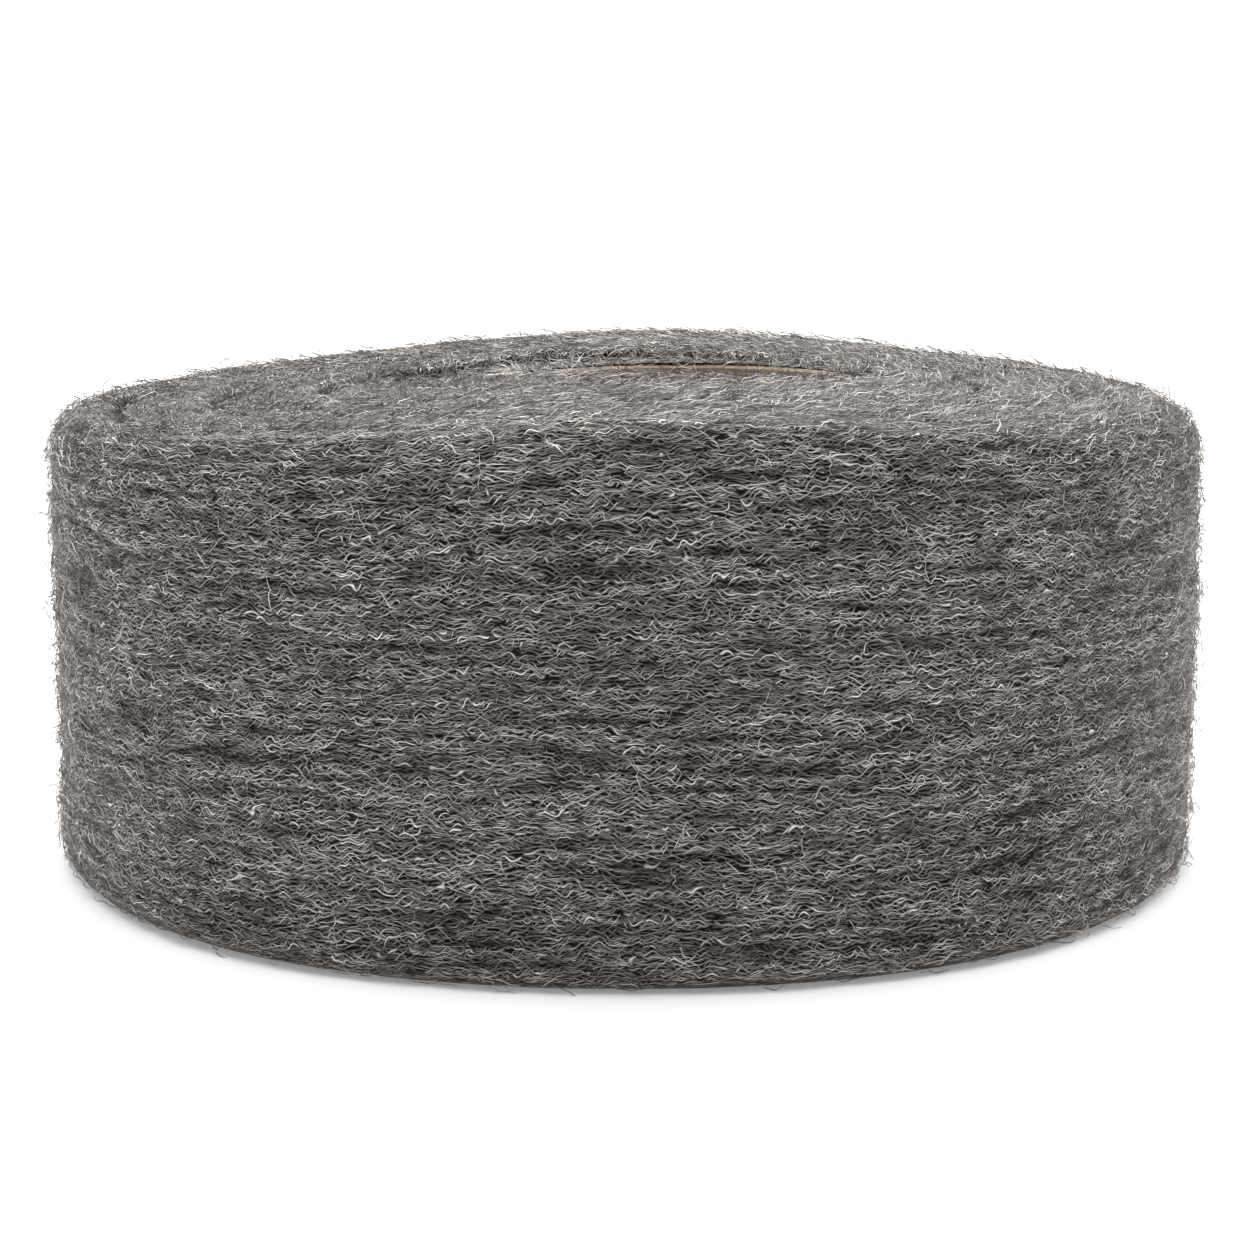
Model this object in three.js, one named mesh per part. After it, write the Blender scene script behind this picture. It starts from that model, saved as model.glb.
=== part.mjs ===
// A reel of steel wool standing on its end: one long ribbon of matted steel fibre, wound in a
// spiral on a plain cardboard core. The wound ribbon is one soft, slightly uneven ring. Its lower
// end is pressed flat by its own weight, its upper end shows the turns as a spiral of rounded
// crests, and the feathered end of the ribbon makes a low step on the back of the outer wall.
// Millimetres, +Z up, origin in the middle of the lower end.
import * as THREE from "three";

// Wound wool
const OUTER_RADIUS = 124.8; // under the upper edge
const BASE_SPREAD = 1.2; // how much further out the wall stands at the foot
const ROLL_HEIGHT = 99.6; // at the rim, close to the ribbon's width of 4 in
const TOP_EDGE_RADIUS = 9;
const BASE_EDGE_RADIUS = 5;
const HOLE_EDGE_RADIUS = 1.2;

// The turns on the upper end, one spiral of rounded crests that runs out from the left of the core
const TURN_PITCH = 22; // thickness of one wound turn
const FIRST_GROOVE_RADIUS = 45; // the innermost groove, where it starts on the left
const GROOVE_DEPTH = 2.2;
const GROOVE_SHARPNESS = 3; // 1 is a plain wave; higher makes narrower grooves
const GROOVE_FADE = 8; // the grooves fade out over this stretch at the hole and at the rim
const INNER_DROP = 3.2; // how far the innermost turn has sunk at the back, down to the core's end
const DROP_FROM_Y = -25;
const DROP_TO_Y = 30;
const TAIL_STEP = 2.4; // thickness of the ribbon's feathered outer end
const TAIL_ANGLE = THREE.MathUtils.degToRad(118); // the tail lies at the back, left of +Y
const TAIL_FEATHER = 0.05; // share of a turn over which the tail thins out

// The upper end isn't flat: the turns stand proud along a broad ridge that runs front to back
const RIDGE_HEIGHT = 8.2;
const RIDGE_FALL = 1.5; // how much lower the ridge is at the back edge than over the middle
const RIDGE_HALF_WIDTH = 83;
const RIDGE_X = 10;

// Slow unevenness of the outer wall
const WALL_LUMPS = 5;
const WALL_LUMP_HEIGHT = 0.8;

// Cardboard core, a tube with a bore of 3 in, off-centre in the soft wool
const CORE_BORE_RADIUS = 38.1;
const CORE_WALL = 3;
const CORE_LENGTH = 101.6;
const CORE_LIFT = 1.4; // the core sits this far up inside the wool's lower end
const CORE_X = 13;
const CORE_Y = -1;
const CORE_CHAMFER = 0.5;
const CORE_GAP = 0.3; // between the core and the innermost turn

// Mesh fineness
const WOOL_STEPS_AROUND = 72;
const CORE_STEPS_AROUND = 72;
const ARC_STEPS = 4;
const WALL_STEPS = 5;
const END_STEP = 3; // radial spacing of the rings on the upper end
const FLAT_STEPS = 4;

const CORE_OUTER_RADIUS = CORE_BORE_RADIUS + CORE_WALL;
const HOLE_RADIUS = CORE_OUTER_RADIUS + CORE_GAP;

// Points of a quarter arc about (cx, cy), from one angle to the next, in degrees.
function arc(cx, cy, radius, fromDeg, toDeg) {
  return Array.from({ length: ARC_STEPS + 1 }, (_, i) => {
    const a = THREE.MathUtils.degToRad(
      fromDeg + ((toDeg - fromDeg) * i) / ARC_STEPS,
    );
    return new THREE.Vector2(
      cx + radius * Math.cos(a),
      cy + radius * Math.sin(a),
    );
  });
}

// Points strictly between a and b on a straight line.
function between(a, b, steps) {
  return Array.from({ length: steps - 1 }, (_, i) =>
    a.clone().lerp(b, (i + 1) / steps),
  );
}

// The section of the plain ring, closed on itself: up the outer wall, in over the turns, down the
// hole and back out under the base.
function woolSection() {
  const corners = [
    arc(
      OUTER_RADIUS - BASE_EDGE_RADIUS,
      BASE_EDGE_RADIUS,
      BASE_EDGE_RADIUS,
      -90,
      0,
    ),
    arc(
      OUTER_RADIUS - TOP_EDGE_RADIUS,
      ROLL_HEIGHT - TOP_EDGE_RADIUS,
      TOP_EDGE_RADIUS,
      0,
      90,
    ),
    arc(
      HOLE_RADIUS + HOLE_EDGE_RADIUS,
      ROLL_HEIGHT - HOLE_EDGE_RADIUS,
      HOLE_EDGE_RADIUS,
      90,
      180,
    ),
    arc(
      HOLE_RADIUS + HOLE_EDGE_RADIUS,
      HOLE_EDGE_RADIUS,
      HOLE_EDGE_RADIUS,
      180,
      270,
    ),
  ];
  const endLength =
    OUTER_RADIUS - TOP_EDGE_RADIUS - HOLE_RADIUS - HOLE_EDGE_RADIUS;
  const endSteps = Math.round(endLength / END_STEP);
  const steps = [WALL_STEPS, endSteps, WALL_STEPS, FLAT_STEPS];
  const points = corners.flatMap((corner, i) => [
    ...corner,
    ...between(corner.at(-1), corners[(i + 1) % corners.length][0], steps[i]),
  ]);
  points.push(points[0].clone());
  return points;
}

// Height of the upper end over (x, y): the rim's height and the ridge.
function topHeight(x, y) {
  const crest = RIDGE_HEIGHT - (RIDGE_FALL * y) / OUTER_RADIUS;
  const spread = (x - RIDGE_X) / RIDGE_HALF_WIDTH;
  return ROLL_HEIGHT + crest * Math.exp(-(spread ** 2));
}

// How many turns lie inside (x, y) on the upper end. It is a whole number along the grooves, and
// below 0 on the innermost turn.
function turnsInside(x, y) {
  const radius = Math.hypot(x, y);
  const aroundFromLeft = Math.atan2(y, x) / (2 * Math.PI) + 0.5;
  return (radius - FIRST_GROOVE_RADIUS) / TURN_PITCH - aroundFromLeft;
}

// How far the upper end lies below its smooth height over (x, y), by grooves and by the sunken
// innermost turn. The share is how far out the point is, from 0 at the hole to 1 at the rim.
function sunkBy(x, y, share) {
  const turns = turnsInside(x, y);
  const wave = (0.5 + 0.5 * Math.cos(2 * Math.PI * turns)) ** GROOVE_SHARPNESS;
  const width = OUTER_RADIUS - HOLE_RADIUS;
  const fromEdge = Math.min(share, 1 - share) * width;
  const groove =
    GROOVE_DEPTH * wave * THREE.MathUtils.smoothstep(fromEdge, 0, GROOVE_FADE);
  const inside = 1 - THREE.MathUtils.smoothstep(turns, -0.15, 0.1);
  const back = THREE.MathUtils.smoothstep(y, DROP_FROM_Y, DROP_TO_Y);
  return groove + INNER_DROP * inside * back;
}

// The outer wall's growth along the ribbon's last turn, which falls back at the feathered tail.
function tailGrowth(a) {
  const turn = (((a - TAIL_ANGLE) / (2 * Math.PI)) % 1) + 1;
  const along = turn % 1;
  const risen = THREE.MathUtils.smoothstep(along, 0, TAIL_FEATHER);
  return TAIL_STEP * (risen * (1 - along) - 0.5);
}

// Carries a point of the plain ring to its place in the wound roll.
function wind(x, y, z) {
  const r = Math.hypot(x, y);
  const a = Math.atan2(y, x);
  const out = (r - HOLE_RADIUS) / (OUTER_RADIUS - HOLE_RADIUS);
  const lumps = WALL_LUMP_HEIGHT * Math.sin(WALL_LUMPS * a + z / 30);
  const spread = BASE_SPREAD * (1 - z / ROLL_HEIGHT);
  const wound = r + out ** 4 * (tailGrowth(a) + lumps + spread);
  const px = wound * Math.cos(a) + CORE_X * (1 - out);
  const py = wound * Math.sin(a) + CORE_Y * (1 - out);
  const nearTop = THREE.MathUtils.smoothstep(
    z,
    ROLL_HEIGHT - TOP_EDGE_RADIUS,
    ROLL_HEIGHT,
  );
  const sunk = nearTop * sunkBy(px, py, THREE.MathUtils.clamp(out, 0, 1));
  const pz = (z * topHeight(px, py)) / ROLL_HEIGHT - sunk;
  return [px, py, pz];
}

function woolRoll() {
  const geometry = new THREE.LatheGeometry(woolSection(), WOOL_STEPS_AROUND);
  geometry.rotateX(Math.PI / 2);
  const position = geometry.getAttribute("position");
  for (let i = 0; i < position.count; i++)
    position.setXYZ(
      i,
      ...wind(position.getX(i), position.getY(i), position.getZ(i)),
    );
  geometry.computeVertexNormals();
  const steel = new THREE.MeshStandardMaterial({
    color: 0x77736f,
    roughness: 0.55,
    metalness: 0.8,
  });
  const mesh = new THREE.Mesh(geometry, steel);
  mesh.name = "wool_roll";
  return mesh;
}

// A plain tube with small chamfers at both ends, its section closed on itself.
function cardboardCore() {
  const outer = CORE_OUTER_RADIUS;
  const inner = CORE_BORE_RADIUS;
  const c = CORE_CHAMFER;
  const section = [
    [outer - c, 0],
    [outer, c],
    [outer, CORE_LENGTH - c],
    [outer - c, CORE_LENGTH],
    [inner + c, CORE_LENGTH],
    [inner, CORE_LENGTH - c],
    [inner, c],
    [inner + c, 0],
    [outer - c, 0],
  ].map(([r, z]) => new THREE.Vector2(r, z));
  const geometry = new THREE.LatheGeometry(section, CORE_STEPS_AROUND);
  geometry.rotateX(Math.PI / 2);
  const cardboard = new THREE.MeshStandardMaterial({
    color: 0xa98463,
    roughness: 0.9,
    metalness: 0,
  });
  const mesh = new THREE.Mesh(geometry, cardboard);
  mesh.name = "cardboard_core";
  mesh.position.set(CORE_X, CORE_Y, CORE_LIFT);
  return mesh;
}

const roll = new THREE.Group();
roll.add(woolRoll(), cardboardCore());

// The tail and the lumps put the wall a little off centre, so the whole roll is centred last.
const bounds = new THREE.Box3().setFromObject(roll);
const middle = bounds.getCenter(new THREE.Vector3());
roll.position.set(-middle.x, -middle.y, 0);

export default roll;
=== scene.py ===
"""The looks of a reel of steel wool: a wound, lumpy mat of curly steel fibres on a cardboard core.

Everything is in metres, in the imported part's frame. The wool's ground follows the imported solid.
The fibres on it are grown by one Geometry Nodes tree, with other sizes for the wall, the ends,
the loose strays and the fringe round the hole.
"""

import math

import bpy
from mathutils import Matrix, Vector


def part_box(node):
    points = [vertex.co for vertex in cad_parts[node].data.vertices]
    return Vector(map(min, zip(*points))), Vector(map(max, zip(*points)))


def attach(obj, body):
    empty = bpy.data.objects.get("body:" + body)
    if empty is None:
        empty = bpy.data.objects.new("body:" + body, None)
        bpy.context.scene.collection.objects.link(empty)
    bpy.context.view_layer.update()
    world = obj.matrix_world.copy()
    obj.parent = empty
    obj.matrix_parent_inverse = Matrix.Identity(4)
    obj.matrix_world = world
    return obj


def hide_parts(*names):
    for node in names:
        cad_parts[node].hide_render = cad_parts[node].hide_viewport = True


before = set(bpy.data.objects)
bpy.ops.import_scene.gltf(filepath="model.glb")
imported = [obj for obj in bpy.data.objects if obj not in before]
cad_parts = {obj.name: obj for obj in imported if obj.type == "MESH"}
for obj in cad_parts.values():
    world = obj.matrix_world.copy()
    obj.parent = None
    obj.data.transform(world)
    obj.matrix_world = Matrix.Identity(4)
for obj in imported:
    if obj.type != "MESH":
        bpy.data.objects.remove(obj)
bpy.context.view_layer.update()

MM = 0.001

# ---------------------------------------------------------------- places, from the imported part
WOOL_LOW, WOOL_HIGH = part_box("wool_roll")
CORE_LOW, CORE_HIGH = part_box("cardboard_core")
ROLL_RADIUS = (WOOL_HIGH.x - WOOL_LOW.x) / 2
RIDGE_HEIGHT = 8.2 * MM  # the upper end is higher along a broad ridge from front to back
RIDGE_HALF_WIDTH = 83 * MM
RIDGE_X = 10 * MM
RIDGE_FRONT_RISE = 1.2 * MM  # and the ridge is this much higher at the front than halfway
RIM_HEIGHT = WOOL_HIGH.z - RIDGE_HEIGHT - RIDGE_FRONT_RISE
CORE_RADIUS = (CORE_HIGH.x - CORE_LOW.x) / 2
CORE_AXIS = Vector(((CORE_LOW.x + CORE_HIGH.x) / 2, (CORE_LOW.y + CORE_HIGH.y) / 2, 0))

# ---------------------------------------------------------------- the winding
RIM_BLEND = 4 * MM  # how softly the wall's height stops counting at the rim
WAY_START = 0.4  # under this share of the rim's height, going inward counts as going down,
WAY_RUN = 0.3  # and once this much more of it is passed it counts as going up
WINDING_STRETCH = 0.08  # strands are about twelve times as long round the roll as across it
STRANDS = [(10 * MM, 0.8 * MM, 0.15), (1.8 * MM, 1.0 * MM, 1.3)]  # width, height, and how strongly painted shade darkens the creases and painted light brightens the crests
# Limits of the painted shade in the creases and the painted highlight on the crests
DARKEST_PAINTED_CREASE = 0.35
BRIGHTEST_PAINTED_CREST = 1.25

# The spiral of turns on the upper end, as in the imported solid
TURN_PITCH = 22 * MM
FIRST_CREVICE_RADIUS = 45 * MM  # where the innermost one starts, on the left
TURN_STEP = 1.0 * MM  # each turn's inner edge stands this much higher than its outer edge
CREVICE_WIDTH = 1.7 * MM  # half the width of the crevice between two turns, sunk and also darkened with painted shade
CREVICE_DEPTH = 1.5 * MM
# how much painted shade darkens the crevices
CREVICE_PAINTED_SHADE = 0.65
UPPER_END_DEPTH = 3 * MM  # the upper end lies no deeper than this under the rim's height
SPIRAL_EDGE = 9 * MM  # the spiral stops this far in from the wall
SPIRAL_FADE = 5 * MM


class Graph:
    """Adds nodes to one tree and joins them, for geometry and for shader trees alike."""

    def __init__(self, tree):
        self.tree = tree

    def feed(self, socket, value):
        """Gives a socket a value, or joins it to another node's output."""
        if isinstance(value, bpy.types.Node):
            value = value.outputs[0]
        if isinstance(value, bpy.types.NodeSocket):
            self.tree.links.new(value, socket)
        else:
            socket.default_value = value

    def add(self, kind, inputs=None, **settings):
        node = self.tree.nodes.new(kind)
        for name, value in settings.items():
            setattr(node, name, value)
        for key, value in (inputs or {}).items():
            self.feed(node.inputs[key], value)
        return node

    def math(self, operation, *values, clamp=False):
        node = self.add("ShaderNodeMath", operation=operation, use_clamp=clamp)
        for socket, value in zip(node.inputs, values):
            self.feed(socket, value)
        return node.outputs[0]

    def vector(self, operation, *values):
        node = self.add("ShaderNodeVectorMath", operation=operation)
        sockets = [node.inputs[0], node.inputs["Scale"]] if operation == "SCALE" else node.inputs
        for socket, value in zip(sockets, values):
            self.feed(socket, value)
        is_number = operation in ("LENGTH", "DOT_PRODUCT", "DISTANCE")
        return node.outputs["Value" if is_number else "Vector"]

    def sum(self, *vectors):
        total = vectors[0]
        for extra in vectors[1:]:
            total = self.vector("ADD", total, extra)
        return total

    def split(self, vector):
        return self.add("ShaderNodeSeparateXYZ", {0: vector}).outputs

    def join(self, x=0.0, y=0.0, z=0.0):
        return self.add("ShaderNodeCombineXYZ", {0: x, 1: y, 2: z}).outputs[0]

    def flat(self, position):
        """The place on the floor right under a place."""
        return self.vector("MULTIPLY", position, (1, 1, 0))

    def from_core(self, position):
        """How far a place is from the core's axis."""
        return self.vector("DISTANCE", self.flat(position), CORE_AXIS)

    def random(self, low, high, identity, seed):
        """A random number that is the same all along one fibre."""
        node = self.add("FunctionNodeRandomValue", data_type="FLOAT")
        self.feed(node.inputs[2], low)
        self.feed(node.inputs[3], high)
        self.feed(node.inputs["ID"], identity)
        self.feed(node.inputs["Seed"], seed)
        return node.outputs[1]

    def noise(self, vector, size, detail=0.0):
        """Noise from 0 to 1 whose grains are about the given size across."""
        node = self.add("ShaderNodeTexNoise",
                        {"Vector": vector, "Scale": 1 / size, "Detail": detail})
        return node.outputs["Fac"]

    def across(self, position):
        """How far a place is across the turns: from under the lower end, up the wall and then in
        over the upper end."""
        x, y, z = self.split(position)
        from_ridge = self.math("DIVIDE", self.math("SUBTRACT", x, RIDGE_X), RIDGE_HALF_WIDTH)
        falling = self.math("EXPONENT", self.math("MULTIPLY", from_ridge,
                                                  self.math("MULTIPLY", from_ridge, -1.0)))
        stretched = self.math("MULTIPLY_ADD", falling, RIDGE_HEIGHT / RIM_HEIGHT, 1.0)
        up_the_wall = self.math("SMOOTH_MIN", self.math("DIVIDE", z, stretched),
                                RIM_HEIGHT - RIM_BLEND / 2, RIM_BLEND)
        inward = self.math("SUBTRACT", ROLL_RADIUS, self.vector("LENGTH", self.join(x, y)))
        upper = self.math("DIVIDE", self.math("SUBTRACT", z, RIM_HEIGHT * WAY_START),
                          RIM_HEIGHT * WAY_RUN, clamp=True)
        way = self.math("MULTIPLY_ADD", upper, 2.0, -1.0)
        return self.math("MULTIPLY_ADD", inward, way, up_the_wall)

    def winding(self, position, stretch, shift=0.0):
        """Coordinates that run round the roll and across its turns, with no seam anywhere.

        Round the roll they are multiplied by the stretch: a small one makes a pattern long."""
        x, y, _ = self.split(position)
        way = self.vector("NORMALIZE", self.join(x, y))
        around = self.vector("SCALE", way, ROLL_RADIUS * stretch)
        return self.sum(around, self.join(z=self.across(position)), (0, 0, shift))

    def turns(self, rest):
        """(How far out in its own turn a place is, 0 to 1; 1 in a crevice between turns, else 0).

        Off the upper end both are 0."""
        x, y, z = self.split(rest)
        radius = self.vector("LENGTH", self.join(x, y))
        around_from_left = self.math("MULTIPLY_ADD", self.math("ARCTAN2", y, x), 1 / math.tau, 0.5)
        out = self.math("DIVIDE", self.math("SUBTRACT", radius, FIRST_CREVICE_RADIUS), TURN_PITCH)
        count = self.math("SUBTRACT", out, around_from_left)
        away = self.math("PINGPONG", count, 0.5)
        crevice = self.math("SUBTRACT", 1.0, self.math("DIVIDE", away, CREVICE_WIDTH / TURN_PITCH),
                            clamp=True)
        high = self.math("GREATER_THAN", z, RIM_HEIGHT - UPPER_END_DEPTH)
        inside = self.math("DIVIDE", self.math("SUBTRACT", ROLL_RADIUS - SPIRAL_EDGE, radius),
                           SPIRAL_FADE, clamp=True)
        on_end = self.math("MULTIPLY", high, inside)
        return (self.math("MULTIPLY", self.math("FRACT", count), on_end),
                self.math("MULTIPLY", crevice, on_end))

    def strand(self, rest, width):
        """The unevenness of strands of this width, above and below 0."""
        winding = self.winding(rest, WINDING_STRETCH)
        return self.math("SUBTRACT", self.noise(winding, width, detail=1.0), 0.5)


def geometry_tree(name, **inputs):
    """An empty Geometry Nodes tree with named inputs: (tree, graph, input node, output node)."""
    tree = bpy.data.node_groups.new(name, "GeometryNodeTree")
    tree.interface.new_socket("Geometry", in_out="INPUT", socket_type="NodeSocketGeometry")
    tree.interface.new_socket("Geometry", in_out="OUTPUT", socket_type="NodeSocketGeometry")
    for label, kind in inputs.items():
        title = label.replace("_", " ").capitalize()
        tree.interface.new_socket(title, in_out="INPUT", socket_type="NodeSocket" + kind)
    graph = Graph(tree)
    return tree, graph, graph.add("NodeGroupInput"), graph.add("NodeGroupOutput")


def apply_tree(piece, tree, **values):
    """Runs a tree on a piece with the given inputs and keeps the result as a plain mesh."""
    modifier = piece.modifiers.new(tree.name, "NODES")
    modifier.node_group = tree
    titles = {label.replace("_", " ").capitalize(): value for label, value in values.items()}
    for item in tree.interface.items_tree:
        if item.in_out == "INPUT" and item.name in titles:
            modifier[item.identifier] = titles[item.name]
    keep_result(piece)


def keep_result(piece):
    """Turns what a piece's modifiers make into its own plain mesh."""
    bpy.context.view_layer.update()
    evaluated = piece.evaluated_get(bpy.context.evaluated_depsgraph_get())
    mesh = bpy.data.meshes.new_from_object(evaluated)
    piece.modifiers.clear()
    piece.data = mesh
    mesh.name = piece.name


# ---------------------------------------------------------------- materials
PAINTED_WIDTH = 0.18 * MM  # half the width of a painted fibre
PAINTED_ROUNDNESS = 0.7  # under 1, so that a fibre is bright over most of its width
PAINTED_STRETCH = 1.4  # the curls are this much shorter round the roll than across it
PAINTED_SHADOW = 0.85
SHADOW_WIDTH = 2.2  # of the fibre's own
BREAK_WIDTH = 1.2 * MM  # the grain of the places where a painted fibre dips out of sight
BREAK_STRETCH = 0.35
BREAK_SHARPNESS = 14.0
BREAK_TONE = 0.8  # how strongly a painted fibre brightens away from its breaks
PAINTED_LAYERS = [  # from the deepest, whose lower tones are painted shade deep in the mat; starts is how many slanting lines go round the roll at once
    dict(spacing=0.7 * MM, starts=0, curl=1.2 * MM, curl_length=4.0 * MM, gaps=0.3, tone=0.4,
         shift=0.0),
    dict(spacing=0.9 * MM, starts=170, curl=1.6 * MM, curl_length=4.6 * MM, gaps=0.38, tone=0.5,
         shift=0.3),
    dict(spacing=0.95 * MM, starts=-200, curl=1.8 * MM, curl_length=4.4 * MM, gaps=0.42, tone=0.6,
         shift=0.6),
    dict(spacing=1.1 * MM, starts=70, curl=2.0 * MM, curl_length=4.2 * MM, gaps=0.46, tone=0.72,
         shift=0.9),
    dict(spacing=1.5 * MM, starts=-120, curl=2.2 * MM, curl_length=4.0 * MM, gaps=0.49, tone=0.82,
         shift=1.2),
]
# The lowest stop is painted shade: the near-black of the deep gaps between the fibres.
GROUND_COLOURS = [
    (0.0, (0.006, 0.0055, 0.005)),
    (0.5, (0.17, 0.156, 0.146)),
    (1.0, (0.85, 0.79, 0.745)),
]
FIBRE_COLOURS = [
    (0.0, (0.16, 0.147, 0.138)),
    (0.5, (0.36, 0.333, 0.312)),
    (1.0, (0.7, 0.653, 0.617)),
]
FIBRE_PATCH = 3 * MM  # the size of the duller and brighter stretches of a fibre
FIBRE_PATCH_TONE = 0.6
CARD_COLOURS = [(0.3, (0.25, 0.197, 0.15)), (0.7, (0.41, 0.342, 0.282))]
CARD_FIBRE = 1.2 * MM
CARD_BLOTCH = 14 * MM
CARD_RELIEF = 0.2 * MM
SEAM_PITCH = 64 * MM
SEAM_WIDTH = 0.7 * MM
SEAM_SHADE = 0.35


def new_material(name):
    """A material with its node tree: (material, graph, principled shader)."""
    material = bpy.data.materials.new(name)
    material.use_nodes = True
    graph = Graph(material.node_tree)
    shader = material.node_tree.nodes["Principled BSDF"]
    return material, graph, shader


def colour_ramp(graph, factor, stops):
    ramp = graph.add("ShaderNodeValToRGB", {"Fac": factor})
    elements = ramp.color_ramp.elements
    while len(elements) < len(stops):
        elements.new(0.5)
    for element, (place, colour) in zip(elements, stops):
        element.position = place
        element.color = (*colour, 1)
    return ramp.outputs["Color"]


def painted_light_and_shade(graph, rest):
    """Painted light on the crests and painted shade in the creases of the strands that run round
    the roll, and painted shade in the crevices between turns: a factor near 1.
    """
    factor = 1.0
    for width, _, shade in STRANDS:
        band = graph.math("MULTIPLY_ADD", graph.strand(rest, width), shade * 2, 1.0)
        band = graph.math("MINIMUM", graph.math("MAXIMUM", band, DARKEST_PAINTED_CREASE), BRIGHTEST_PAINTED_CREST)
        factor = graph.math("MULTIPLY", band, factor)
    # painted shade in the crevices between turns
    _, crevice = graph.turns(rest)
    return graph.math("MULTIPLY", factor,
                      graph.math("MULTIPLY_ADD", crevice, -CREVICE_PAINTED_SHADE, 1.0))


def off_painted_line(graph, rest, layer):
    """How far a place is from the middle of the nearest painted fibre, in spacings."""
    waves = graph.noise(graph.winding(rest, PAINTED_STRETCH, layer["shift"]), layer["curl_length"])
    sway = graph.math("MULTIPLY", graph.math("SUBTRACT", waves, 0.5),
                      2 * layer["curl"] / layer["spacing"])
    x, y, _ = graph.split(rest)
    across = graph.math("DIVIDE", graph.across(rest), layer["spacing"])
    turned = graph.math("DIVIDE", graph.math("ARCTAN2", y, x), math.tau)
    slanted = graph.math("MULTIPLY_ADD", turned, float(layer["starts"]), across)
    return graph.math("PINGPONG", graph.math("ADD", slanted, sway), 0.5)


def painted_fibres(graph, rest, layer, below):
    """One more layer of curly fibres, painted over the brightness of the layers below it."""
    breaks = graph.noise(graph.winding(rest, BREAK_STRETCH, layer["shift"]), BREAK_WIDTH)
    present = graph.math("MULTIPLY", graph.math("SUBTRACT", breaks, layer["gaps"]),
                         BREAK_SHARPNESS, clamp=True)
    off = off_painted_line(graph, rest, layer)
    width = PAINTED_WIDTH / layer["spacing"]
    line = graph.math("SUBTRACT", 1.0, graph.math("DIVIDE", off, width), clamp=True)
    line = graph.math("MULTIPLY", graph.math("POWER", line, PAINTED_ROUNDNESS), present)
    shadow = graph.math("SUBTRACT", 1.0, graph.math("DIVIDE", off, width * SHADOW_WIDTH),
                        clamp=True)
    shadow = graph.math("MULTIPLY", graph.math("MULTIPLY", shadow, present), PAINTED_SHADOW)
    below = graph.math("MULTIPLY", graph.math("SUBTRACT", 1.0, shadow), below)
    tone = graph.math("MULTIPLY_ADD", graph.math("SUBTRACT", breaks, 0.5), BREAK_TONE,
                      layer["tone"])
    return graph.math("MULTIPLY_ADD", graph.math("SUBTRACT", tone, below), line, below)


def matted_steel():
    """The ground under the fibres: layer over layer of curly lines of steel, the deeper ones darker
    with painted shade, over dark gaps of painted shade.
    """
    material, graph, shader = new_material("matted_steel")
    rest = graph.add("ShaderNodeAttribute", attribute_name="rest").outputs["Vector"]
    value = 0.0
    for layer in PAINTED_LAYERS:
        value = painted_fibres(graph, rest, layer, value)
    colour = colour_ramp(graph, value, GROUND_COLOURS)
    # the painted light and shade of the strands and crevices goes over the whole ground
    shaded = graph.vector("SCALE", colour, painted_light_and_shade(graph, rest))
    graph.feed(shader.inputs["Base Color"], shaded)
    shader.inputs["Metallic"].default_value = 0.5
    shader.inputs["Roughness"].default_value = 0.6
    shader.inputs["Specular IOR Level"].default_value = 0.1
    return material


def steel_fibre():
    """Bright drawn steel: each fibre has a tone of its own, and varies a little along itself."""
    material, graph, shader = new_material("steel_fibre")
    tone = graph.add("ShaderNodeAttribute", attribute_name="tone").outputs["Fac"]
    position = graph.add("ShaderNodeTexCoord").outputs["Object"]
    patches = graph.noise(position, FIBRE_PATCH)
    value = graph.math("MULTIPLY_ADD", graph.math("SUBTRACT", patches, 0.5), FIBRE_PATCH_TONE, tone)
    colour = colour_ramp(graph, value, FIBRE_COLOURS)
    # The shade attribute is the painted light and shade of the strands and crevices where the fibre
    # starts.
    shade = graph.add("ShaderNodeAttribute", attribute_name="shade").outputs["Fac"]
    shaded = graph.vector("SCALE", colour, shade)
    graph.feed(shader.inputs["Base Color"], shaded)
    shader.inputs["Metallic"].default_value = 0.8
    shader.inputs["Roughness"].default_value = 0.4
    return material


def wound_card():
    """Brown card, wound from a strip: a faint spiral seam, and fibres pressed in the paper."""
    material, graph, shader = new_material("wound_card")
    position = graph.add("ShaderNodeTexCoord").outputs["Object"]
    fibres = graph.noise(graph.vector("MULTIPLY", position, (1, 1, 3)), CARD_FIBRE, detail=4)
    blotches = graph.noise(position, CARD_BLOTCH, detail=3)
    value = graph.math("ADD", graph.math("MULTIPLY", fibres, 0.5),
                       graph.math("MULTIPLY", blotches, 0.5))
    x, y, z = graph.split(graph.vector("SUBTRACT", position, CORE_AXIS))
    turned = graph.math("DIVIDE", graph.math("ARCTAN2", y, x), math.tau)
    along_strip = graph.math("ADD", graph.math("DIVIDE", z, SEAM_PITCH), turned)
    beside_seam = graph.math("DIVIDE", graph.math("PINGPONG", along_strip, 0.5),
                             SEAM_WIDTH / SEAM_PITCH, clamp=True)
    shade = graph.math("MULTIPLY_ADD", beside_seam, SEAM_SHADE, 1 - SEAM_SHADE)
    seamed = graph.math("MULTIPLY", value, shade)
    graph.feed(shader.inputs["Base Color"], colour_ramp(graph, seamed, CARD_COLOURS))
    bump = graph.add("ShaderNodeBump", {"Height": fibres, "Distance": CARD_RELIEF})
    graph.feed(shader.inputs["Normal"], bump)
    shader.inputs["Roughness"].default_value = 0.85
    return material


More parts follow.
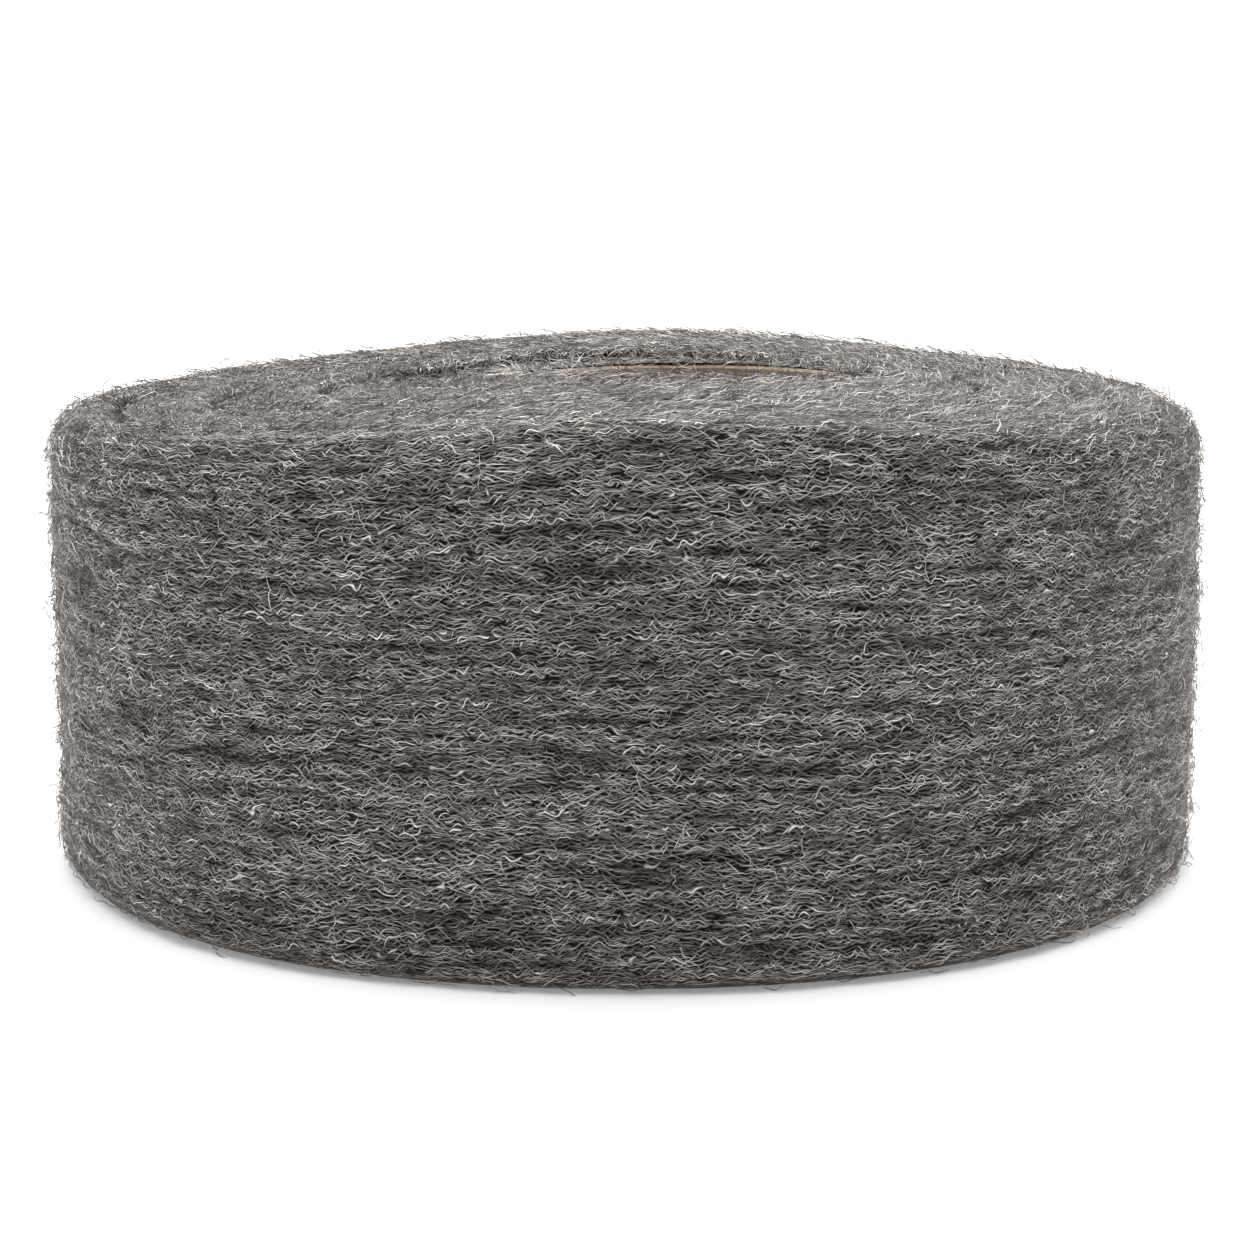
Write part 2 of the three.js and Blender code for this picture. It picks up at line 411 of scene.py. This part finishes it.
# ---------------------------------------------------------------- the wool's ground
GROUND_VOXEL = 1.7 * MM
GROUND_SMOOTHING = 4
GROUND_SINK = 0.7 * MM  # the ground lies this far under the solid's skin, below the fibres
FLOOR_MARGIN = 6 * MM  # the lumps grow from nothing over this far above the floor
HOLE_MARGIN = 8 * MM  # and over this far out from the core, where they give way to the lip
LIP_REACH = 3.8 * MM  # the innermost turn bulges in this far over the core's end
LIP_HEIGHT = 0.9 * MM  # and is raised towards this height above it, where it's lower
LIP_SHARE = 0.85  # of the way there
LIP_DEPTH = 5.0 * MM  # the bulge starts this far under the core's end
LIP_RAMP = 1.5 * MM
LIP_ROUNDING = 0.8 * MM


def lump_push(graph, position, clear):
    """The push in or out that makes the strands and the crests and crevices of the turns."""
    normal = graph.add("GeometryNodeInputNormal").outputs["Normal"]
    height = -GROUND_SINK
    for width, rise, _ in STRANDS:
        height = graph.math("MULTIPLY_ADD", graph.strand(position, width), rise * 2, height)
    share_of_turn, crevice = graph.turns(position)
    height = graph.math("MULTIPLY_ADD", crevice, -CREVICE_DEPTH, height)
    height = graph.math("MULTIPLY_ADD", share_of_turn, -TURN_STEP, height)
    off_floor = graph.math("DIVIDE", graph.split(position)[2], FLOOR_MARGIN, clamp=True)
    share = graph.math("MULTIPLY", clear, off_floor)
    return graph.vector("SCALE", normal, graph.math("MULTIPLY", height, share))


def hole_lip(graph, position, clear):
    """(The pull in over the core's end, the lift of the wool beside it)."""
    z = graph.split(position)[2]
    near_hole = graph.math("SUBTRACT", 1.0, clear)
    beside_end = graph.math("DIVIDE", graph.math("SUBTRACT", z, CORE_HIGH.z - LIP_DEPTH), LIP_RAMP,
                            clamp=True)
    missing = graph.math("MAXIMUM", graph.math("SUBTRACT", CORE_HIGH.z + LIP_HEIGHT, z), 0.0)
    lift = graph.math("MULTIPLY", graph.math("MULTIPLY", beside_end, near_hole),
                      graph.math("MULTIPLY", missing, LIP_SHARE))
    above_core = graph.math("SUBTRACT", graph.math("ADD", z, lift), CORE_HIGH.z)
    over_core = graph.math("DIVIDE", above_core, LIP_ROUNDING, clamp=True)
    reach = graph.math("MULTIPLY", graph.math("MULTIPLY", over_core, near_hole), LIP_REACH)
    inward = graph.vector("NORMALIZE", graph.vector("SUBTRACT", CORE_AXIS, graph.flat(position)))
    return graph.vector("SCALE", inward, reach), graph.join(z=lift)


def lumps_tree():
    """Makes the ground lumpy, and notes where each of its points was before, as rest."""
    tree, graph, given, out = geometry_tree("wound_lumps")
    position = graph.add("GeometryNodeInputPosition").outputs[0]
    clear = graph.math("DIVIDE", graph.math("SUBTRACT", graph.from_core(position), CORE_RADIUS),
                       HOLE_MARGIN, clamp=True)
    offset = graph.sum(lump_push(graph, position, clear), *hole_lip(graph, position, clear))
    noted = graph.add("GeometryNodeStoreNamedAttribute", {
        "Geometry": given.outputs[0], "Name": "rest", "Value": position},
        data_type="FLOAT_VECTOR")
    moved = graph.add("GeometryNodeSetPosition", {"Geometry": noted, "Offset": offset})
    graph.feed(out.inputs[0], moved)
    return tree


def wool_ground(material):
    """A fine, even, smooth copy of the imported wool, made lumpy."""
    piece = bpy.data.objects.new("wool_ground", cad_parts["wool_roll"].data.copy())
    bpy.context.scene.collection.objects.link(piece)
    weld = piece.modifiers.new("weld", "WELD")
    weld.merge_threshold = 0.01 * MM
    remesh = piece.modifiers.new("remesh", "REMESH")
    remesh.mode = "VOXEL"
    remesh.voxel_size = GROUND_VOXEL
    smooth = piece.modifiers.new("smooth", "SMOOTH")
    smooth.iterations = GROUND_SMOOTHING
    keep_result(piece)
    apply_tree(piece, lumps_tree())
    piece.data.materials.clear()
    piece.data.materials.append(material)
    piece.data.shade_smooth()
    return piece


# ---------------------------------------------------------------- fibres
PER_SQUARE_MM = 1e6
NO_LIMIT = 1.0  # farther than any place on the roll

# Facing is how much the ground faces up, from -1 to 1. Fibres lean up to their slant from the
# winding, and all of them by their turn. Cling is how closely they follow the ground.
MAT = dict(steps=5, length=4.2 * MM, thickness=0.21 * MM, curl=0.7 * MM, curl_length=1.5 * MM,
           slant=math.radians(45), height=0.8 * MM, arch=0.5 * MM, rise=0.4 * MM,
           turn=0.0, cling=1.0, farthest_core=NO_LIMIT, lowest_place=-NO_LIMIT)
WALL = dict(lowest_facing=-0.55, highest_facing=0.72, nearest_core=0.06)
UPPER_END = dict(lowest_facing=0.5, highest_facing=1.1, nearest_core=CORE_RADIUS,
                 height=0.5 * MM, arch=0.5 * MM, rise=1.6 * MM, slant=math.radians(60))
LOWER_END = dict(lowest_facing=-1.1, highest_facing=-0.45, nearest_core=CORE_RADIUS + 1.5 * MM)
STRAY = dict(MAT, steps=8, length=5.5 * MM, thickness=0.19 * MM, curl=1.2 * MM, height=0.5 * MM,
             arch=1.3 * MM, rise=3.2 * MM, slant=math.radians(90), lowest_facing=-0.9,
             highest_facing=1.1, nearest_core=CORE_RADIUS + 2 * MM)
FRINGE = dict(MAT, steps=7, length=9 * MM, height=0.4 * MM, arch=0.8 * MM, rise=-5.0 * MM,
              turn=math.radians(45), slant=math.radians(80), cling=0.25,
              lowest_facing=-0.4, highest_facing=1.1, nearest_core=0.0,
              farthest_core=CORE_RADIUS + 0.8 * MM, lowest_place=CORE_HIGH.z)
FIBRE_PIECES = {
    "wall_fibres_1": dict(MAT | WALL, density=0.074 * PER_SQUARE_MM, seed=11),
    "wall_fibres_2": dict(MAT | WALL, density=0.074 * PER_SQUARE_MM, seed=27),
    "wall_fibres_3": dict(MAT | WALL, density=0.074 * PER_SQUARE_MM, seed=35),
    "upper_end_fibres": dict(MAT | UPPER_END, density=0.13 * PER_SQUARE_MM, seed=43),
    "lower_end_fibres": dict(MAT | LOWER_END, density=0.02 * PER_SQUARE_MM, seed=59),
    "stray_fibres": dict(STRAY, density=0.023 * PER_SQUARE_MM, seed=75),
    "hole_fringe": dict(FRINGE, density=1.5 * PER_SQUARE_MM, seed=91),
}

# Each random draw of a fibre has its own number. Shares are the least and most it may give.
LEAN, LENGTH, CURL, LEVEL, ARCH, RISE, WIDTH, TONE = range(1, 9)
LENGTH_SHARES = (0.5, 1.5)
RISE_SHARES = (0.1, 1.0)
WIDTH_SHARES = (0.6, 1.3)
LEAN_FALL = 1.2  # the higher these powers, the fewer fibres lean or stand out far
LEVEL_FALL = 1.5
RISE_BEND = 1.6  # a fibre rises mostly towards its free end
CURL_SWING = 4.0  # makes up for how small the noise's swings are
CURL_LIFT = 0.4  # how much of the curl goes in and out
NOISE_ROW = 3.71  # the step in the noise from one fibre to the next
TIP_TAPER = 0.6
TIP_SHARPNESS = 4.0
TUBE_SIDES = 3


def starts_here(graph, value, position, from_core):
    """1 on the side of the roll that a piece covers, and 0 elsewhere."""
    facing = graph.split(graph.add("GeometryNodeInputNormal").outputs["Normal"])[2]
    limits = [
        ("GREATER_THAN", facing, "Lowest facing"),
        ("LESS_THAN", facing, "Highest facing"),
        ("GREATER_THAN", from_core, "Nearest core"),
        ("LESS_THAN", from_core, "Farthest core"),
        ("GREATER_THAN", graph.split(position)[2], "Lowest place"),
    ]
    wanted = 1.0
    for comparison, field, name in limits:
        wanted = graph.math("MULTIPLY", wanted, graph.math(comparison, field, value[name]))
    return wanted


def lying_ways(graph, value, draw, position, from_core, outward, identity):
    """(The way that a fibre runs, the way across it): round the roll, turned by its own lean."""
    outer_share = graph.math("DIVIDE", graph.math("SUBTRACT", from_core, CORE_RADIUS),
                             ROLL_RADIUS - CORE_RADIUS, clamp=True)
    centre = graph.vector("SCALE", CORE_AXIS, graph.math("SUBTRACT", 1.0, outer_share))
    spoke = graph.vector("SUBTRACT", position, centre)
    along = graph.vector("NORMALIZE", graph.vector("CROSS_PRODUCT", (0, 0, 1), spoke))
    across = graph.vector("NORMALIZE", graph.vector("CROSS_PRODUCT", outward, along))
    lean = draw(-1.0, 1.0, identity, LEAN)
    lean = graph.math("MULTIPLY", lean,
                      graph.math("POWER", graph.math("ABSOLUTE", lean), LEAN_FALL))
    angle = graph.math("ADD", graph.math("MULTIPLY", lean, value["Slant"]), value["Turn"])
    direction = graph.sum(graph.vector("SCALE", along, graph.math("COSINE", angle)),
                          graph.vector("SCALE", across, graph.math("SINE", angle)))
    return direction, graph.vector("CROSS_PRODUCT", outward, direction)


def fibre_starts(graph, value, draw):
    """Where fibres start on the ground: (the points, what each fibre keeps from its own)."""
    position = graph.add("GeometryNodeInputPosition").outputs[0]
    from_core = graph.from_core(position)
    scatter = graph.add("GeometryNodeDistributePointsOnFaces", {
        "Mesh": value["Geometry"], "Selection": starts_here(graph, value, position, from_core),
        "Density": value["Density"], "Seed": value["Seed"]})
    outward = scatter.outputs["Normal"]
    identity = graph.add("GeometryNodeInputIndex").outputs[0]
    direction, side = lying_ways(graph, value, draw, position, from_core, outward, identity)
    rest = graph.add("GeometryNodeInputNamedAttribute", {"Name": "rest"},
                     data_type="FLOAT_VECTOR").outputs["Attribute"]
    fields = {
        "Root": ("VECTOR", position),
        "Direction": ("VECTOR", direction),
        "Side": ("VECTOR", side),
        "Outward": ("VECTOR", outward),
        "Number": ("INT", identity),
        # the painted light and shade of the strands and crevices at the fibre's root, for its
        # tubes' colour
        "Shade": ("FLOAT", painted_light_and_shade(graph, rest)),
    }
    capture = graph.add("GeometryNodeCaptureAttribute", {0: scatter.outputs["Points"]})
    for name, (kind, field) in fields.items():
        capture.capture_items.new(kind, name)
        graph.feed(capture.inputs[name], field)
    return capture.outputs["Geometry"], {name: capture.outputs[name] for name in fields}


def straight_lines(graph, value, points):
    """A straight line of points at each start, to be bent afterwards."""
    line = graph.add("GeometryNodeCurvePrimitiveLine", {"End": (1, 0, 0)})
    stepped = graph.add("GeometryNodeResampleCurve", {"Curve": line, "Count": value["Steps"]})
    copies = graph.add("GeometryNodeInstanceOnPoints", {"Points": points, "Instance": stepped})
    return graph.add("GeometryNodeRealizeInstances", {0: copies})


def curled_place(graph, value, draw, fibre, middle):
    """(Where a fibre's point lies on the ground, its swing in and out).

    Each fibre reads its own row of a noise."""
    length = graph.math("MULTIPLY", value["Length"], draw(*LENGTH_SHARES, fibre["Number"], LENGTH))
    run = graph.math("MULTIPLY", middle, length)
    row = graph.join(graph.math("DIVIDE", run, value["Curl length"]),
                     graph.math("MULTIPLY", fibre["Number"], NOISE_ROW),
                     graph.math("ADD", value["Seed"], float(CURL)))
    noise = graph.add("ShaderNodeTexNoise", {"Vector": row, "Scale": 1.0, "Detail": 1.0})
    swing = graph.vector("SCALE", graph.vector("SUBTRACT", noise.outputs["Color"], (0.5,) * 3),
                         graph.math("MULTIPLY", value["Curl"], CURL_SWING))
    swing_x, swing_y, swing_z = graph.split(swing)
    spot = graph.sum(fibre["Root"],
                     graph.vector("SCALE", fibre["Direction"], graph.math("ADD", run, swing_x)),
                     graph.vector("SCALE", fibre["Side"], swing_y))
    near = graph.add("GeometryNodeProximity", {
        "Geometry": value["Geometry"], "Sample Position": spot})
    to_ground = graph.vector("SUBTRACT", near.outputs["Position"], spot)
    laid = graph.vector("ADD", spot, graph.vector("SCALE", to_ground, value["Cling"]))
    return laid, swing_z


def standing_height(graph, value, draw, fibre, place, edge):
    """How high a fibre stands: its own level, an arch, and a free end that rises."""
    bow = graph.math("SUBTRACT", 1.0, graph.math("POWER", edge, 2.0))
    level = graph.math("POWER", draw(0.0, 1.0, fibre["Number"], LEVEL), LEVEL_FALL)
    level = graph.math("MULTIPLY", level, value["Height"])
    arch = graph.math("MULTIPLY", graph.math("MULTIPLY", bow, value["Arch"]),
                      draw(0.0, 1.0, fibre["Number"], ARCH))
    rise = graph.math("MULTIPLY", graph.math("POWER", place, RISE_BEND), value["Rise"])
    rise = graph.math("MULTIPLY", rise, draw(*RISE_SHARES, fibre["Number"], RISE))
    return graph.math("ADD", graph.math("ADD", level, arch), rise)


def round_tubes(graph, value, draw, fibre, edge, lines):
    """Closed tubes along the lines, thinner at their ends, each with its own tone."""
    tip = graph.math("MULTIPLY", graph.math("POWER", edge, TIP_SHARPNESS), TIP_TAPER)
    radius = graph.math("MULTIPLY", graph.math("MULTIPLY", value["Thickness"], 0.5),
                        graph.math("SUBTRACT", 1.0, tip))
    radius = graph.math("MULTIPLY", radius, draw(*WIDTH_SHARES, fibre["Number"], WIDTH))
    ring = graph.add("GeometryNodeCurvePrimitiveCircle", {"Resolution": TUBE_SIDES, "Radius": 1.0})
    toned = graph.add("GeometryNodeStoreNamedAttribute", {
        "Geometry": lines, "Name": "tone", "Value": draw(0.0, 1.0, fibre["Number"], TONE)})
    # the fibre's painted light and shade, kept as an attribute for its material
    shaded = graph.add("GeometryNodeStoreNamedAttribute", {
        "Geometry": toned, "Name": "shade", "Value": fibre["Shade"]})
    tubes = graph.add("GeometryNodeCurveToMesh", {
        "Curve": shaded, "Profile Curve": ring, "Scale": radius, "Fill Caps": True})
    return graph.add("GeometryNodeSetShadeSmooth", {"Geometry": tubes})


def fibre_tree():
    """Grows curly fibres on the ground, along the winding, as thin three-sided closed tubes."""
    tree, graph, given, out = geometry_tree(
        "curly_fibres",
        density="Float", steps="Int", length="Float", thickness="Float",
        curl="Float", curl_length="Float", slant="Float",
        height="Float", arch="Float", rise="Float",
        turn="Float", cling="Float",
        lowest_facing="Float", highest_facing="Float",
        nearest_core="Float", farthest_core="Float", lowest_place="Float",
        seed="Int", material="Material",
    )
    value = {socket.name: socket for socket in given.outputs}

    def draw(low, high, number, which):
        return graph.random(low, high, number, graph.math("ADD", value["Seed"], float(which)))

    points, fibre = fibre_starts(graph, value, draw)
    lines = straight_lines(graph, value, points)
    place = graph.add("GeometryNodeSplineParameter").outputs["Factor"]
    middle = graph.math("SUBTRACT", place, 0.5)
    edge = graph.math("ABSOLUTE", graph.math("MULTIPLY", middle, 2.0))
    laid, swing = curled_place(graph, value, draw, fibre, middle)
    height = standing_height(graph, value, draw, fibre, place, edge)
    height = graph.math("ADD", height, graph.math("MULTIPLY", swing, CURL_LIFT))
    final = graph.vector("ADD", laid, graph.vector("SCALE", fibre["Outward"], height))
    x, y, z = graph.split(final)
    above_floor = graph.join(x, y, graph.math("MAXIMUM", z, value["Thickness"]))
    bent = graph.add("GeometryNodeSetPosition", {"Geometry": lines, "Position": above_floor})
    tubes = round_tubes(graph, value, draw, fibre, edge, bent)
    painted = graph.add("GeometryNodeSetMaterial", {
        "Geometry": tubes, "Material": value["Material"]})
    graph.feed(out.inputs[0], painted)
    return tree


def grow_fibres(name, tree, ground, **values):
    """One piece of fibres that grow on the ground. The ground isn't part of it."""
    piece = bpy.data.objects.new(name, ground.data)
    bpy.context.scene.collection.objects.link(piece)
    apply_tree(piece, tree, **values)
    return piece


# ---------------------------------------------------------------- floor, light and camera
FLOOR_SIZE = 60
FLOOR_WHITE = 0.74
FLOOR_GLOW = 0.21
SKY_DARK_SIDE = (0.2, -0.98, 0)  # in front, a little to the right
SKY_DARK_FROM = -0.05
SKY_FRONT = 0.24
SKY_BACK = 1.0
SKY_SEEN = 1.1  # what the camera sees behind the floor, whichever way it looks
OVERHEAD_POWER = 3.7
OVERHEAD_SPREAD = math.radians(70)
OVERHEAD_TILT = (math.radians(-8), 0, 0)
SENSOR_WIDTH = 36
LENS = 84.56
CAMERA_PLACE = (0.0004, -0.650, 0.1619)
CAMERA_PITCH = math.radians(9.97)


def studio():
    """A white floor under a white sky that is darker in front, with soft light from overhead."""
    bpy.ops.mesh.primitive_plane_add(size=FLOOR_SIZE)
    floor = bpy.context.object
    floor.name = "floor"
    material, _, shader = new_material("white_floor")
    shader.inputs["Base Color"].default_value = (FLOOR_WHITE, FLOOR_WHITE, FLOOR_WHITE, 1)
    shader.inputs["Roughness"].default_value = 0.9
    shader.inputs["Emission Color"].default_value = (1, 1, 1, 1)
    shader.inputs["Emission Strength"].default_value = FLOOR_GLOW
    floor.data.materials.append(material)

    world = bpy.data.worlds.new("studio")
    bpy.context.scene.world = world
    world.use_nodes = True
    graph = Graph(world.node_tree)
    direction = graph.add("ShaderNodeTexCoord").outputs["Generated"]
    toward_front = graph.vector("DOT_PRODUCT", direction, SKY_DARK_SIDE)
    light = graph.add("ShaderNodeMapRange", {
        "Value": toward_front, "From Min": SKY_DARK_FROM, "From Max": 1.0,
        "To Min": SKY_BACK, "To Max": SKY_FRONT}, interpolation_type="SMOOTHSTEP")
    seen = graph.add("ShaderNodeLightPath").outputs["Is Camera Ray"]
    strength = graph.add("ShaderNodeMix", {"Factor": seen, "A": light.outputs[0], "B": SKY_SEEN})
    background = world.node_tree.nodes["Background"]
    background.inputs["Color"].default_value = (1, 1, 1, 1)
    graph.feed(background.inputs["Strength"], strength)

    lamp = bpy.data.lights.new("overhead", "SUN")
    lamp.angle = OVERHEAD_SPREAD
    lamp.energy = OVERHEAD_POWER
    holder = bpy.data.objects.new("overhead", lamp)
    holder.rotation_euler = OVERHEAD_TILT
    bpy.context.scene.collection.objects.link(holder)


def camera():
    data = bpy.data.cameras.new("camera")
    data.lens = LENS
    data.sensor_width = SENSOR_WIDTH
    holder = bpy.data.objects.new("camera", data)
    holder.location = CAMERA_PLACE
    holder.rotation_euler = (math.radians(90) - CAMERA_PITCH, 0, 0)
    bpy.context.scene.collection.objects.link(holder)
    bpy.context.scene.camera = holder


# ---------------------------------------------------------------- putting it together
camera()
studio()
bpy.context.scene.view_settings.view_transform = "Standard"

ground = wool_ground(matted_steel())
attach(ground, "root")
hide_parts("wool_roll")

fibre_steel = steel_fibre()
tree = fibre_tree()
for name, measures in FIBRE_PIECES.items():
    piece = grow_fibres(name, tree, ground, material=fibre_steel, **measures)
    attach(piece, "root")

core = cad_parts["cardboard_core"]
core.data.materials.clear()
core.data.materials.append(wound_card())
